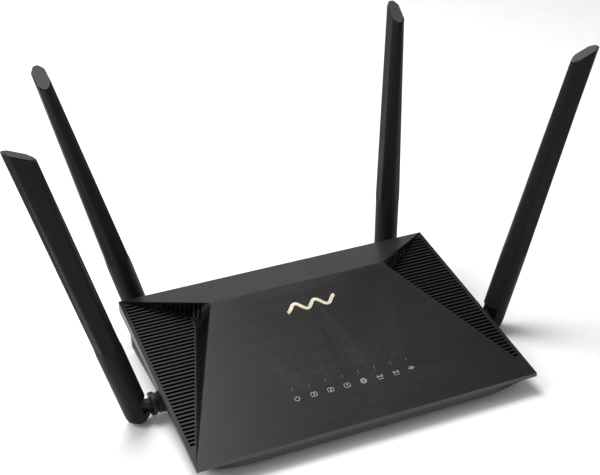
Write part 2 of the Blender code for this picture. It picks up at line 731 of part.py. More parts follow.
def bottom_case():
    case = add_object("bottom_case", case_hull(), "case")
    boolean(case, case_cavity())
    boolean(case, case_bosses(), "UNION")
    boolean(case, case_peg_tips(), "UNION")
    boolean(case, case_stub_bosses(), "UNION")
    boolean(case, add_object("join_guards", keyhole_guard(0.0, 1.0 * MM, 5.6 * MM)), "UNION")
    boolean(case, add_object("cut_guards", keyhole_guard(1.0 * MM, 1.9 * MM, 4.6 * MM)))
    for cutter in (case_round_cuts(), case_shank_holes(), case_vents(), port_windows(), reset_hole()):
        boolean(case, cutter)


# ---------------------------------------------------------------- board and what sits on it
def main_board():
    board = box("main_board", (-BOARD_HALF, BOARD_FRONT_Y, BOARD_Z), (BOARD_HALF, BOARD_REAR_Y, BOARD_TOP),
                "board")
    bm = bmesh.new()
    for x, y in PEGS:
        add_rod(bm, 1.5 * MM, (x * MM, y * MM, 0), (x * MM, y * MM, 12 * MM), 16)
    boolean(board, add_object("cut_board_holes", mesh_from(bm, "cut_board_holes")))


def heat_sink():
    """Finned aluminium block on a soft pad over the processor."""
    low, high = (-30 * MM, -10 * MM), (26 * MM, 34 * MM)
    pad_top = SEAT_Z + 1.0 * MM
    box("thermal_pad", (low[0] + 8 * MM, low[1] + 8 * MM, SEAT_Z),
        (high[0] - 8 * MM, high[1] - 8 * MM, pad_top), "pad")
    sink = box("heat_sink", (*low, pad_top + GAP), (*high, pad_top + 12 * MM), "metal")
    bm = bmesh.new()
    for i in range(9):
        x = low[0] + (4.5 + 5.6 * i) * MM
        add_box(bm, (x, low[1] - BEYOND, pad_top + 3 * MM), (x + 3.2 * MM, high[1] + BEYOND, 30 * MM))
    boolean(sink, add_object("cut_fins", mesh_from(bm, "cut_fins")))


def shield_can(name, x, y):
    """Pressed steel lid over a radio section, open towards the board."""
    half = (17 * MM, 14 * MM)
    can = box(name, (x - half[0], y - half[1], SEAT_Z), (x + half[0], y + half[1], SEAT_Z + 3.5 * MM), "steel")
    wall = 0.6 * MM
    hollow = box("cut_" + name, (x - half[0] + wall, y - half[1] + wall, SEAT_Z - 1 * MM),
                 (x + half[0] - wall, y + half[1] - wall, SEAT_Z + 2.9 * MM))
    boolean(can, hollow)


def network_jack(name, x):
    """Eight-way modular socket with its latch notch, open to the rear."""
    width, depth, height = JACK_SIZE
    body = box(name, (x - width / 2, JACK_FACE_Y - depth, SEAT_Z), (x + width / 2, JACK_FACE_Y, SEAT_Z + height),
               "socket")
    bm = bmesh.new()
    add_box(bm, (x - 5.95 * MM, JACK_FACE_Y - 14 * MM, SEAT_Z + 4.2 * MM),
            (x + 5.95 * MM, JACK_FACE_Y + BEYOND, SEAT_Z + 11.6 * MM))
    boolean(body, add_object("cut_" + name, mesh_from(bm, "cut_" + name)))
    latch = box("cut_latch_" + name, (x - 3.0 * MM, JACK_FACE_Y - 12 * MM, SEAT_Z + 1.6 * MM),
                (x + 3.0 * MM, JACK_FACE_Y + BEYOND, SEAT_Z + 6 * MM))
    boolean(body, latch)


def usb_jack():
    """Type A socket: a metal shell with the contact tongue inside."""
    width, depth, height = USB_SIZE
    low = (USB_X - width / 2, JACK_FACE_Y - depth, SEAT_Z)
    high = (USB_X + width / 2, JACK_FACE_Y, SEAT_Z + height)
    shell = box("usb_jack", low, high, "metal")
    wall = 0.4 * MM
    mouth = box("cut_usb", (low[0] + wall, high[1] - 13 * MM, low[2] + wall),
                (high[0] - wall, high[1] + BEYOND, high[2] - wall))
    boolean(shell, mouth)
    tongue = box("join_usb_tongue", (USB_X - 5.6 * MM, low[1] + 1 * MM, high[2] - 2.4 * MM),
                 (USB_X + 5.6 * MM, high[1] - 1.2 * MM, high[2] - 0.9 * MM))
    boolean(shell, tongue, "UNION")


def dc_jack():
    """Barrel power inlet with its centre pin."""
    width, depth, height = DC_SIZE
    middle_z = SEAT_Z + height / 2
    body = box("dc_jack", (DC_X - width / 2, JACK_FACE_Y - depth, SEAT_Z),
               (DC_X + width / 2, JACK_FACE_Y, SEAT_Z + height), "socket")
    boolean(body, rod("cut_dc", 3.0 * MM, (DC_X, JACK_FACE_Y - 10 * MM, middle_z),
                      (DC_X, JACK_FACE_Y + BEYOND, middle_z), sides=16))
    boolean(body, rod("join_dc_pin", 1.0 * MM, (DC_X, JACK_FACE_Y - 11 * MM, middle_z),
                      (DC_X, JACK_FACE_Y - 0.8 * MM, middle_z), sides=8), "UNION")


def push_control(name, x, half, proud, travel):
    """A rear push button and the switch body behind it."""
    front_y = CASE_REAR_Y + proud
    back_y = CASE_REAR_Y - 5 * MM
    cap = box(name + "_button", (x - half[0], back_y, BUTTON_Z - half[1]),
              (x + half[0], front_y, BUTTON_Z + half[1]), "button")
    edges = cap.modifiers.new("soft_edges", "BEVEL")
    edges.width = 0.5 * MM
    edges.segments = 2
    switch_front = back_y - travel - GAP
    box(name + "_switch", (x - 4.2 * MM, switch_front - 7 * MM, SEAT_Z),
        (x + 4.2 * MM, switch_front, BUTTON_Z + 3.5 * MM), "socket")


def reset_control():
    """A small plunger behind a pin hole, and its switch body."""
    front_y = CASE_REAR_Y - 0.6 * MM
    back_y = CASE_REAR_Y - 5 * MM
    rod("reset_button", 1.2 * MM, (RESET_X, back_y, BUTTON_Z), (RESET_X, front_y, BUTTON_Z), "button",
        sides=16)
    box("reset_switch", (RESET_X - 3 * MM, back_y - 6.8 * MM, SEAT_Z),
        (RESET_X + 3 * MM, back_y - 0.8 * MM, BUTTON_Z + 3 * MM), "socket")


def comb_outline():
    """Outline of the light guide seen from the front: a bar with eight pegs and two legs."""
    peg = LIGHT_SLOT[0] / 2 - GAP
    low, high, top, foot = 11 * MM, 13 * MM, 17 * MM, SEAT_Z
    reach = light_x(LIGHT_COUNT - 1) + 4 * MM
    points = [(-reach, foot), (-reach, high)]
    for i in range(LIGHT_COUNT):
        x = light_x(i)
        points += [(x - peg, high), (x - peg, top), (x + peg, top), (x + peg, high)]
    points += [(reach, high), (reach, foot), (reach - 2 * MM, foot), (reach - 2 * MM, low)]
    points += [(-reach + 2 * MM, low), (-reach + 2 * MM, foot)]
    return points


def light_guide():
    """Clear comb that carries the light of eight diodes to the panel."""
    thickness = LIGHT_SLOT[1] - 2 * GAP
    mesh = outline_mesh("light_guide", comb_outline(), thickness)
    mesh.transform(Matrix.Translation((0, LIGHT_Y, 0)) @ Matrix.Rotation(pi / 2, 4, "X"))
    for corner in mesh.vertices:
        if corner.co.z > 16 * MM:
            corner.co.z = roof_z(corner.co.y) - 0.1 * MM
    add_object("light_guide", mesh, "guide")


# ---------------------------------------------------------------- antennas
def knuckle_profile(reach):
    """Stepped outline of the swivel, outer end first, in millimetres, for a stub this far from its wall."""
    collar = [(-8.3, 0.0), (-8.3, 6.5), (-8.9, 7.1), (-11.1, 7.1), (-11.7, 6.5), (-11.7, 4.8), (-12.7, 4.8),
              (-12.7, 6.0), (-13.2, 6.5), (-14.6, 6.5), (-14.6, 5.5), (-15.4, 5.5), (-15.4, 6.5), (-17.2, 6.5)]
    wall = reach / MM
    shaft = [(-17.2, 3.0), (-wall - 2.3, 3.0), (-wall - 2.3, 2.3), (-wall - 4.5, 2.3), (-wall - 4.5, 3.0),
             (-wall - 6.3, 3.0), (-wall - 6.3, 0.0)]
    return collar + shaft


ALONG_X = Matrix.Rotation(pi / 2, 4, "Y")


def tongue_outline():
    """Side view of the hinge tongue: a bar with a round end about the pin, in local XZ."""
    arc = [(TONGUE_R * cos(a), -PIN_DROP + TONGUE_R * sin(a)) for a in [radians(18 * i - 90) for i in range(11)]]
    return [(-10 * MM, -PIN_DROP - TONGUE_R), *arc, (-10 * MM, TONGUE_R - PIN_DROP)]


def knuckle(name, swivel, reach):
    """Swivel with two collars, a scoop for the blade's foot, a hinge tongue and a bore for the lead."""
    profile = [(along * MM, radius * MM) for along, radius in knuckle_profile(reach)]
    item = lathe(name + "_knuckle", profile, 24, "knuckle", swivel, ALONG_X)
    boolean(item, rod("cut_scoop_" + name, SCOOP_R, (0, -9 * MM, -PIN_DROP), (0, 9 * MM, -PIN_DROP), None, swivel,
                      48))
    tongue_mesh = outline_mesh("join_tongue_" + name, tongue_outline(), 2 * TONGUE_HALF)
    tongue_mesh.transform(Matrix.Rotation(pi / 2, 4, "X"))
    boolean(item, add_object("join_tongue_" + name, tongue_mesh, None, swivel), "UNION")
    bm = bmesh.new()
    add_rod(bm, PIN_R + GAP, (0, -6 * MM, -PIN_DROP), (0, 6 * MM, -PIN_DROP), 16)
    add_rod(bm, 1.2 * MM, (-32 * MM, 0, 0), (-15 * MM, 0, 0), 12)
    boolean(item, add_object("cut_" + name + "_knuckle", mesh_from(bm, "cut_knuckle"), None, swivel))


def retaining_clip(name, swivel, reach):
    """Split ring in the shaft's groove, inside the wall."""
    near, far = -reach - 2.6 * MM, -reach - 4.2 * MM
    ring = rod(name + "_clip", 3.7 * MM, (far, 0, 0), (near, 0, 0), "steel", swivel, 20)
    boolean(ring, rod("cut_ring_" + name, 2.6 * MM, (far - MM, 0, 0), (near + MM, 0, 0), None, swivel, 20))
    boolean(ring, box("cut_split_" + name, (far - MM, -1.8 * MM, 0), (near + MM, 1.8 * MM, 9 * MM), None, swivel))


def octagon(half_thick):
    """Eight-sided blade section with a flat front and back, each corner cut to three points."""
    flat = BLADE_HALF * BLADE_FLAT_SHARE
    edge = min(BLADE_EDGE_HALF, half_thick * 0.45)
    quarter = [(BLADE_HALF, edge), (flat, half_thick)]
    corners = quarter + [(-x, y) for x, y in reversed(quarter)]
    corners += [(-x, -y) for x, y in corners]
    points = []
    for i, corner in enumerate(corners):
        spot = Vector(corner)
        before = (Vector(corners[i - 1]) - spot).normalized() * BLADE_CORNER
        after = (Vector(corners[(i + 1) % 8]) - spot).normalized() * BLADE_CORNER
        points += [spot + before, spot + (before + after) * 0.28, spot + after]
    return points


def blade_ring(share, half_thick, roundness, z_of):
    """Blade section in XY, from octagonal to round, shrunk to a share of its size."""
    points = []
    for i, spot in enumerate(octagon(half_thick)):
        turn = radians(7.5 + 15 * i)
        circle = Vector((cos(turn), sin(turn))) * BLADE_ROUND_R
        mixed = (spot * (1 - roundness) + circle * roundness) * share
        points.append((mixed.x, mixed.y, z_of(mixed.x)))
    return points


def tip_z(x):
    """Slanted end: low on the case's side, high on the far side."""
    return (BLADE_LOW + BLADE_HIGH) / 2 + (BLADE_HIGH - BLADE_LOW) / 2 * x / BLADE_HALF


def blade_mesh(name):
    """Rounded foot, round neck, then an eight-sided blade that thins towards a slanted tip."""
    base, tip = BLADE_ROUND_R, BLADE_TIP_HALF_THICK
    rings = [blade_ring(share, base, 1.0, lambda x, z=z: z) for share, z in FOOT_RINGS]
    rings.append(blade_ring(1.0, base, 1.0, lambda x: 0.0))
    rings.append(blade_ring(1.0, base, 1.0, lambda x: ROUND_TOP))
    rings.append(blade_ring(1.0, base * 0.9, 0.12, lambda x: BLADE_START))
    rings.append(blade_ring(1.0, tip, 0.0, lambda x: tip_z(x) - 0.9 * MM))
    rings.append(blade_ring(0.9, tip, 0.0, tip_z))
    return loft_mesh(name, rings, first_tip=(0, 0, FOOT_END))


def blade(name, lean):
    """Antenna sleeve with its clevis, hidden pin seat and a pocket for the radiator."""
    item = add_object(name + "_antenna", blade_mesh(name + "_antenna"), "antenna", lean, crease=24)
    clevis = box("cut_clevis_" + name, (-9 * MM, -CLEVIS_HALF, -10 * MM), (4.6 * MM, CLEVIS_HALF, NOTCH_TOP - 0.5 * MM), None,
                 lean)
    notch = box("cut_notch_" + name, (-9.5 * MM, -9 * MM, -3 * MM), (-2.9 * MM, 9 * MM, NOTCH_TOP),
                None, lean)
    seat = rod("cut_pin_" + name, PIN_R + GAP, (0, -PIN_HALF - GAP, 0), (0, PIN_HALF + GAP, 0), None, lean, 16)
    pocket = box("cut_pocket_" + name, (-3.9 * MM, -0.9 * MM, 6 * MM), (3.9 * MM, 0.9 * MM, 162 * MM), None, lean)
    for cutter in (clevis, notch, seat, pocket):
        boolean(item, cutter)
    rod(name + "_hinge_pin", PIN_R, (0, -PIN_HALF, 0), (0, PIN_HALF, 0), "steel", lean, 12)
    box(name + "_radiator", (-3.5 * MM, -0.4 * MM, 9 * MM), (3.5 * MM, 0.4 * MM, 160 * MM), "copper", lean)


def antenna(name, sign, heading, swivel_deg, lean_deg):
    """One antenna on its swivel and hinge, posed about empties on both axes."""
    side, at_rear = sign
    reach = REAR_STUB_REACH if at_rear else SIDE_STUB_REACH
    if at_rear:
        base = (side * REAR_STUB_X, CASE_REAR_Y + reach, REAR_STUB_Z)
    else:
        base = (side * (CASE_HALF_BASE + reach), SIDE_STUB_Y, STUB_Z)
    swivel = bpy.data.objects.new(name + "_swivel_axis", None)
    PARTS.objects.link(swivel)
    swivel.matrix_world = (Matrix.Translation(base) @ Matrix.Rotation(radians(heading), 4, "Z")
                           @ Matrix.Rotation(radians(swivel_deg), 4, "X"))
    lean = bpy.data.objects.new(name + "_lean_axis", None)
    PARTS.objects.link(lean)
    lean.parent = swivel
    lean.matrix_local = Matrix.Translation((0, 0, -PIN_DROP)) @ Matrix.Rotation(radians(lean_deg), 4, "Y")
    knuckle(name, swivel, reach)
    retaining_clip(name, swivel, reach)
    blade(name, lean)
    coax_lead(name, base, side, at_rear)


def coax_lead(name, base, side, at_rear):
    """Thin coaxial lead from the board's edge to the swivel's bore."""
    x, y, z = base
    if at_rear:
        end = Vector((x, y - 23.5 * MM, z))
        bend = Vector((x, 58 * MM, z))
        start = Vector((side * 66 * MM, 40 * MM, BOARD_TOP + 2 * MM))
        mid = Vector((side * 84 * MM, 44 * MM, 12 * MM))
    else:
        end = Vector((x - side * 21 * MM, y, z))
        bend = Vector((side * 90 * MM, y, z))
        start = Vector((side * 66 * MM, -16 * MM, BOARD_TOP + 2 * MM))
        mid = Vector((side * 84 * MM, -12 * MM, 13 * MM))
    knots = [start, mid, bend, end]
    data = bpy.data.curves.new(name + "_coax", "CURVE")
    data.dimensions = "3D"
    data.bevel_depth = 0.65 * MM
    data.bevel_resolution = 2
    data.use_fill_caps = True
    line = data.splines.new("POLY")
    route = smooth_route(knots, 14)
    line.points.add(len(route) - 1)
    for knot, point in zip(line.points, route):
        knot.co = (*point, 1.0)
    item = bpy.data.objects.new(name + "_coax", data)
    PARTS.objects.link(item)
    data.materials.append(MATERIALS["cable"])


def smooth_route(knots, count):
    """Points along a cubic Bezier curve with four control points."""
    route = []
    for i in range(count):
        t = i / (count - 1)
        weights = ((1 - t) ** 3, 3 * t * (1 - t) ** 2, 3 * t * t * (1 - t), t ** 3)
        route.append(sum((knot * weight for knot, weight in zip(knots, weights)), Vector()))
    return route


# ---------------------------------------------------------------- feet and screws
def feet():
    for name, x, y in FEET:
        rod(name + "_foot", FOOT_R, (x * MM, y * MM, FOOT_Z), (x * MM, y * MM, 0.5 * MM), "rubber")


def case_screws():
    """Four self-tapping screws from below: a head and a shank."""
    for name, x, y in SCREWS:
        x, y = x * MM, y * MM
        top = 10.8 * MM
        screw = rod(name + "_screw", 3.0 * MM, (x, y, 0.9 * MM), (x, y, 3.2 * MM), "steel", sides=20)
        shank = rod("join_shank_" + name, 1.35 * MM, (x, y, 2.0 * MM), (x, y, top), sides=12)
        boolean(screw, shank, "UNION")
        for turn, sizes in (("along", (1.7, 0.35)), ("across", (0.35, 1.7))):
            reach_x, reach_y = (size * MM for size in sizes)
            slot = box("cut_" + turn + "_" + name, (x - reach_x, y - reach_y, 0), (x + reach_x, y + reach_y, 1.9 * MM))
            boolean(screw, slot)


def main():
    top_cover()
    bottom_case()
    main_board()
    heat_sink()
    shield_can("shield_can_left", -50 * MM, 6 * MM)
    shield_can("shield_can_right", 50 * MM, 6 * MM)
    for name, x in NETWORK_JACKS:
        network_jack(name, x * MM)
    usb_jack()
    dc_jack()
    push_control("power", POWER_X, (3.5 * MM, 3.5 * MM), 1.8 * MM, 1.5 * MM)
    push_control("wps", WPS_X, (4.0 * MM, 2.5 * MM), 0.8 * MM, 0.8 * MM)
    reset_control()
    light_guide()
    feet()
    case_screws()
    for entry in ANTENNAS:
        antenna(*entry)


main()
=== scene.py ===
"""Looks of the four-antenna wireless router: finishes, printed marks, socket contacts, light and camera."""
import json
from math import atan, cos, pi, radians, sin

import bmesh
import bpy
from mathutils import Matrix, Vector


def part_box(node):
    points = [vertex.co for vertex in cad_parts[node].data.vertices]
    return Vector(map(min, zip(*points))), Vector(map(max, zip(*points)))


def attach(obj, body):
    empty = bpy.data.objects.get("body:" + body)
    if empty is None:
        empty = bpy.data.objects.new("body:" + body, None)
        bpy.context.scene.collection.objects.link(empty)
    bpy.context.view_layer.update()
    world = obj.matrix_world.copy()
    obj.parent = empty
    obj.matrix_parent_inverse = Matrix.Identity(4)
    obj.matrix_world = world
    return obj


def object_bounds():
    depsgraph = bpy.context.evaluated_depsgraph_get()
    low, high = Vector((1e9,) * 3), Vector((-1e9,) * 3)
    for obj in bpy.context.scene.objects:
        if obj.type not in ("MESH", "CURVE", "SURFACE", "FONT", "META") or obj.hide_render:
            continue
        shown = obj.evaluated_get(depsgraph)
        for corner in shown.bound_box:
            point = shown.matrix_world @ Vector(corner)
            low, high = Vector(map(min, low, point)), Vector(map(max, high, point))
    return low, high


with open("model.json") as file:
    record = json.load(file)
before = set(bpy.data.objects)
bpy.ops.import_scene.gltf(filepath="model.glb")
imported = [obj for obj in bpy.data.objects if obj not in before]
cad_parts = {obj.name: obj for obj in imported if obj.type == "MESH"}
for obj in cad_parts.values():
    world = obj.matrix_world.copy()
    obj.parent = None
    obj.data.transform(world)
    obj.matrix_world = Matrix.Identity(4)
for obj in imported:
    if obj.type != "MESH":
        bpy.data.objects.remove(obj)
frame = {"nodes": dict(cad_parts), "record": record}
cad_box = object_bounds()

MM = 0.001
ROOT = "router_body"
RIGHT, FORWARD, UP, DOWN = (1.0, 0.0, 0.0), (0.0, -1.0, 0.0), (0.0, 0.0, 1.0), (0.0, 0.0, -1.0)

# where the masks of painted highlight and painted shade fade in, in metres from the middle of the case
LIP_HIGHLIGHT_FROM = (0.0705, 0.0715)
FRONT_RIM_FROM = (0.069, 0.070)
SIDE_RIM_FROM = (0.1066, 0.1072)
GRILLE_SHADE_FROM = (0.052, 0.056)


# ---------------------------------------------------------------- node material helpers
class Finish:
    """A Principled material with textures in the object's own frame."""

    def __init__(self, name, color, roughness, metallic=0.0, specular=0.5):
        self.mat = bpy.data.materials.new(name)
        self.mat.use_nodes = True
        self.tree = self.mat.node_tree
        self.shader = self.tree.nodes["Principled BSDF"]
        self.shader.inputs["Base Color"].default_value = (*color, 1.0)
        self.shader.inputs["Roughness"].default_value = roughness
        self.shader.inputs["Metallic"].default_value = metallic
        self.shader.inputs["Specular IOR Level"].default_value = specular
        self.color = color
        source = self.tree.nodes.new("ShaderNodeTexCoord")
        self.coords = source.outputs["Object"]
        self.normals = source.outputs["Normal"]

    def link(self, output, socket):
        self.tree.links.new(output, socket)

    def noise(self, scale, detail=2.0, stretch=(1.0, 1.0, 1.0)):
        """Noise in metres: scale is in features per metre, stretch makes streaks."""
        mapping = self.tree.nodes.new("ShaderNodeMapping")
        mapping.inputs["Scale"].default_value = stretch
        texture = self.tree.nodes.new("ShaderNodeTexNoise")
        texture.inputs["Scale"].default_value = scale
        texture.inputs["Detail"].default_value = detail
        self.link(self.coords, mapping.inputs["Vector"])
        self.link(mapping.outputs["Vector"], texture.inputs["Vector"])
        return texture.outputs["Fac"]

    def remap(self, value, low, high, start=0.3, end=0.7):
        """Map a noise value to a range."""
        node = self.tree.nodes.new("ShaderNodeMapRange")
        node.inputs["From Min"].default_value = start
        node.inputs["From Max"].default_value = end
        node.inputs["To Min"].default_value = low
        node.inputs["To Max"].default_value = high
        self.link(value, node.inputs["Value"])
        return node.outputs["Result"]

    def math(self, operation, first, second):
        """A math node on two values; the second may be a number."""
        node = self.tree.nodes.new("ShaderNodeMath")
        node.operation = operation
        self.link(first, node.inputs[0])
        if isinstance(second, float):
            node.inputs[1].default_value = second
        else:
            self.link(second, node.inputs[1])
        return node.outputs[0]

    def shade(self, amount):
        """Base colour multiplied by a varying amount."""
        node = self.tree.nodes.new("ShaderNodeVectorMath")
        node.operation = "SCALE"
        node.inputs[0].default_value = self.color
        self.link(amount, node.inputs["Scale"])
        return node.outputs["Vector"]

    def wear_and_highlight(self, color_output, worn_and_highlight, start=0.53, end=0.62, strength=0.6):
        """Lighter colour along the outer edges: wear, and also a painted highlight along the edges."""
        edges = self.tree.nodes.new("ShaderNodeNewGeometry").outputs["Pointiness"]
        mask = self.remap(edges, 0.0, strength, start, end)
        patchy = self.math("MULTIPLY", mask, self.remap(self.noise(260.0, 3.0), 0.25, 1.0))
        return self.tint(color_output, patchy, worn_and_highlight)

    def along(self, vector, direction):
        """How far a vector reaches along a direction."""
        node = self.tree.nodes.new("ShaderNodeVectorMath")
        node.operation = "DOT_PRODUCT"
        node.inputs[1].default_value = direction
        self.link(vector, node.inputs[0])
        return node.outputs["Value"]

    def facing(self, direction, start, end):
        """Mask of the faces that look along a direction of the node's own frame."""
        return self.remap(self.along(self.normals, direction), 0.0, 1.0, start, end)

    def front_highlight_mask(self):
        """Mask of the upright faces along the front edge, where a highlight is painted."""
        nearby = self.remap(self.along(self.coords, FORWARD), 0.0, 1.0, *LIP_HIGHLIGHT_FROM)
        return self.math("MULTIPLY", self.facing(FORWARD, 0.8, 0.95), nearby)

    def slot_shade_mask(self):
        """Mask of the steep faces well inside the outline and out in the corners, the slots' walls, where
        shade is painted.
        """
        outward = self.math("ABSOLUTE", self.along(self.normals, RIGHT), 0.0)
        steep = self.math("MAXIMUM", self.facing(DOWN, -0.55, -0.3),
                          self.remap(outward, 0.0, 0.8, 0.4, 0.6))
        sideways = self.math("ABSOLUTE", self.along(self.coords, RIGHT), 0.0)
        corner = self.remap(sideways, 0.0, 1.0, *GRILLE_SHADE_FROM)
        inside = self.math("MULTIPLY", self.remap(sideways, 1.0, 0.0, *SIDE_RIM_FROM),
                           self.remap(self.along(self.coords, FORWARD), 1.0, 0.0, *FRONT_RIM_FROM))
        return self.math("MULTIPLY", steep, self.math("MULTIPLY", corner, inside))

    def tint(self, color_output, mask, color):
        """Another colour where the mask is on."""
        mix = self.tree.nodes.new("ShaderNodeMix")
        mix.data_type = "RGBA"
        self.link(mask, mix.inputs["Factor"])
        self.link(color_output, mix.inputs["A"])
        mix.inputs["B"].default_value = (*color, 1.0)
        return mix.outputs["Result"]

    def relief(self, height, strength, distance):
        """Bump from a height value."""
        bump = self.tree.nodes.new("ShaderNodeBump")
        bump.inputs["Strength"].default_value = strength
        bump.inputs["Distance"].default_value = distance
        self.link(height, bump.inputs["Height"])
        self.link(bump.outputs["Normal"], self.shader.inputs["Normal"])

    def rough(self, output):
        self.link(output, self.shader.inputs["Roughness"])

    def paint(self, output):
        self.link(output, self.shader.inputs["Base Color"])


def moulded(name, color, roughness, grain=1400.0, depth=0.12, spread=0.06, worn_and_highlight=None, specular=0.5,
            tone=0.1, lip_highlight=None, top=None):
    """Grained moulded plastic or rubber; the lip colour is a painted highlight on its upright front faces
    and the top colour a painted highlight on its upper faces.
    """
    finish = Finish(name, color, roughness, specular=specular)
    fine = finish.noise(grain, 3.0)
    cloudy = finish.noise(35.0, 3.0)
    shaded = finish.shade(finish.math("MULTIPLY", finish.remap(cloudy, 1 - 0.8 * tone, 1 + 0.8 * tone),
                                      finish.remap(fine, 1 - tone, 1 + tone)))
    # painted highlight on the upright front faces
    if lip_highlight:
        shaded = finish.tint(shaded, finish.front_highlight_mask(), lip_highlight)
    # painted highlight on the upper faces
    if top:
        shaded = finish.tint(shaded, finish.facing(UP, 0.5, 0.7), top)
    # lighter edges: wear, and also a painted edge highlight
    finish.paint(finish.wear_and_highlight(shaded, worn_and_highlight) if worn_and_highlight else shaded)
    finish.rough(finish.math("ADD", finish.remap(cloudy, roughness - spread, roughness + spread),
                             finish.remap(fine, -0.03, 0.03)))
    finish.relief(fine, depth, 0.0002)
    return finish.mat


def brushed(name, color, roughness, stretch, streak=1500.0, depth=0.1, spread=0.09, tone=0.14,
            metallic=0.0, worn_and_highlight=None, specular=0.5, lip_highlight=None, slot_shade=None):
    """Surface with fine straight brush lines; the lip colour is a painted highlight on its front faces and
    the slots colour is painted shade on its slots' walls.
    """
    finish = Finish(name, color, roughness, metallic, specular)
    lines = finish.noise(streak, 4.0, stretch)
    wide = finish.noise(streak * 0.22, 3.0, stretch)
    cloudy = finish.noise(22.0, 2.0)
    both = finish.math("ADD", finish.math("MULTIPLY", lines, 0.6), finish.math("MULTIPLY", wide, 0.4))
    varied = finish.math("MULTIPLY", finish.remap(both, 1 - tone, 1 + tone, 0.38, 0.62),
                         finish.remap(cloudy, 0.95, 1.05))
    shaded = finish.shade(varied)
    # painted highlight on the upright front faces
    if lip_highlight:
        shaded = finish.tint(shaded, finish.front_highlight_mask(), lip_highlight)
    # painted shade on the slots' walls
    if slot_shade:
        shaded = finish.tint(shaded, finish.slot_shade_mask(), slot_shade)
    # lighter edges: wear, and also a painted edge highlight
    finish.paint(finish.wear_and_highlight(shaded, worn_and_highlight) if worn_and_highlight else shaded)
    finish.rough(finish.math("ADD", finish.remap(both, roughness - spread, roughness + spread, 0.38, 0.62),
                             finish.remap(cloudy, -0.03, 0.03)))
    finish.relief(both, depth, 0.0001)
    return finish.mat


# ---------------------------------------------------------------- finishes, one per slot
# texture scales that draw brush lines out along one axis
ALONG_X = (0.012, 1.0, 1.0)
ALONG_Y = (1.0, 0.02, 1.0)
ALONG_Z = (1.0, 1.0, 0.02)


def make_finishes():
    return {
        # cover: painted highlight on the front faces and painted shade on the slots' walls
        "cover_plastic": brushed("cover_plastic", (0.009, 0.009, 0.0096), 0.36, ALONG_X, depth=0.03,
                                 spread=0.03, tone=0.05, worn_and_highlight=(0.06, 0.06, 0.062), specular=0.28,
                                 lip_highlight=(0.06, 0.06, 0.062), slot_shade=(0.001, 0.001, 0.001)),
        # case: painted highlight on the upright front faces
        "case_plastic": moulded("case_plastic", (0.016, 0.016, 0.017), 0.55, worn_and_highlight=(0.05, 0.05, 0.052),
                                specular=0.3, lip_highlight=(0.05, 0.05, 0.052)),
        "emblem_metal": brushed("emblem_metal", (0.86, 0.80, 0.62), 0.32, ALONG_X, metallic=0.7, tone=0.06),
        "board_laminate": moulded("board_laminate", (0.015, 0.09, 0.045), 0.4, grain=500.0),
        "thermal_pad": moulded("thermal_pad", (0.35, 0.4, 0.52), 0.8, grain=700.0),
        "heat_sink_aluminium": brushed("heat_sink_aluminium", (0.62, 0.62, 0.64), 0.38, ALONG_Y,
                                       metallic=1.0, tone=0.08),
        "can_steel": brushed("can_steel", (0.58, 0.58, 0.59), 0.35, ALONG_X, metallic=1.0, tone=0.06),
        "socket_plastic": moulded("socket_plastic", (0.018, 0.018, 0.018), 0.45, grain=1800.0),
        "usb_shell": brushed("usb_shell", (0.66, 0.66, 0.68), 0.28, ALONG_X, metallic=1.0, tone=0.06),
        "button_plastic": moulded("button_plastic", (0.05, 0.05, 0.052), 0.48, worn_and_highlight=(0.12, 0.12, 0.12)),
        "switch_plastic": moulded("switch_plastic", (0.03, 0.03, 0.032), 0.5),
        "guide_plastic": moulded("guide_plastic", (0.10, 0.10, 0.105), 0.3, depth=0.04),
        "foot_rubber": moulded("foot_rubber", (0.015, 0.015, 0.015), 0.85, grain=900.0, depth=0.3),
        "screw_steel": brushed("screw_steel", (0.32, 0.32, 0.34), 0.4, (1.0, 1.0, 1.0), metallic=1.0),
        # antenna: painted highlight on the upper faces
        "antenna_plastic": moulded("antenna_plastic", (0.006, 0.006, 0.0064), 0.5, grain=1600.0, depth=0.06,
                                   worn_and_highlight=(0.03, 0.03, 0.032), specular=0.14, top=(0.06, 0.06, 0.062)),
        "knuckle_plastic": moulded("knuckle_plastic", (0.008, 0.008, 0.0085), 0.4, worn_and_highlight=(0.03, 0.03, 0.032),
                                   specular=0.3),
        "pin_steel": brushed("pin_steel", (0.5, 0.5, 0.52), 0.3, ALONG_Z, metallic=1.0, tone=0.06),
        "radiator_strip": brushed("radiator_strip", (0.66, 0.36, 0.18), 0.35, ALONG_Z, metallic=0.8),
        "coax_jacket": moulded("coax_jacket", (0.04, 0.04, 0.042), 0.55),
        "print_grey": moulded("print_grey", (0.42, 0.43, 0.44), 0.5, grain=2500.0, depth=0.05),
        "contact_gold": brushed("contact_gold", (0.83, 0.62, 0.25), 0.25, ALONG_Y, metallic=1.0,
                                tone=0.05),
        "floor": moulded("floor", (0.88, 0.88, 0.88), 0.7, grain=60.0, depth=0.02, spread=0.02, tone=0.01),
    }


FINISHES = make_finishes()


def dress_frame():
    """Give every CAD node the finish of its slot."""
    for part in frame["record"]["subparts"]:
        mesh = frame["nodes"][part["node"]].data
        finish = FINISHES[part["material_slot"]]
        mesh.materials.clear()
        mesh.materials.append(finish)


# ---------------------------------------------------------------- piece helpers
def add_piece(name, bm, finish, body, place=Matrix()):
    """Turn a bmesh into a piece that rides on a body."""
    bmesh.ops.recalc_face_normals(bm, faces=bm.faces)
    mesh = bpy.data.meshes.new(name)
    bm.to_mesh(mesh)
    bm.free()
    mesh.transform(place)
    mesh.materials.append(FINISHES[finish])
    piece = bpy.data.objects.new(name, mesh)
    bpy.context.scene.collection.objects.link(piece)
    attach(piece, body)
    return piece


